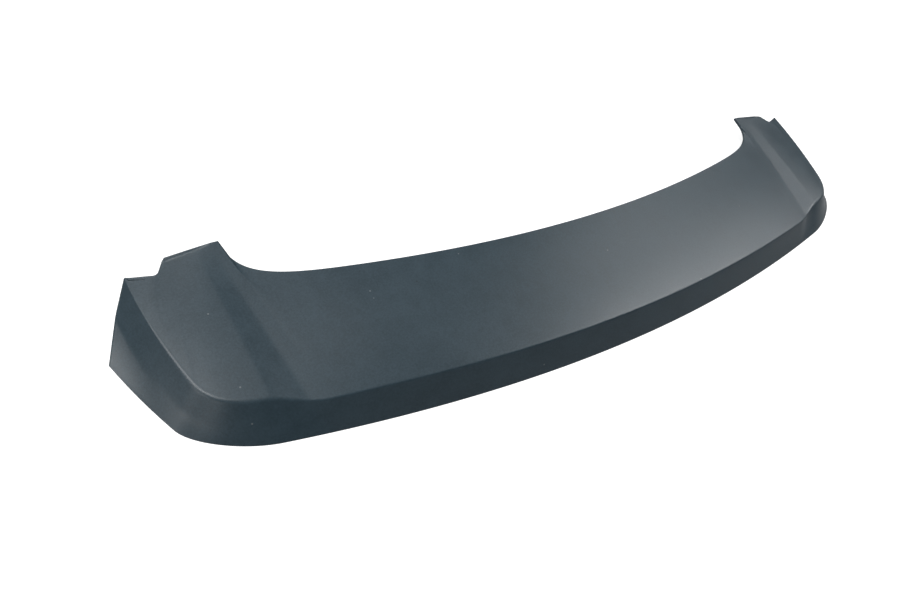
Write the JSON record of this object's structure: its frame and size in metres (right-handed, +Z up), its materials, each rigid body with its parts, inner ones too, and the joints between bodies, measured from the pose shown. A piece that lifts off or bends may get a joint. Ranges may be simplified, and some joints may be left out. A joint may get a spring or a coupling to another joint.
{
  "type": "car roof spoiler",
  "caption": "Thin moulded roof spoiler with a crowned panel, raised ears, a leaning rear wall and flared side walls, open underneath.",
  "frame": {"origin": "middle of the outline on the ground plane that the rim stands on", "axes": "+X to the right as seen from behind the car, +Y towards the car's front, +Z up"},
  "size_m": [1.22, 0.287, 0.0515],
  "materials": {
    "primer": "satin blue-grey primer on a moulded plastic shell"
  },
  "bodies": {
    "root": {"spoiler": "primer"}
  },
  "joints": []
}
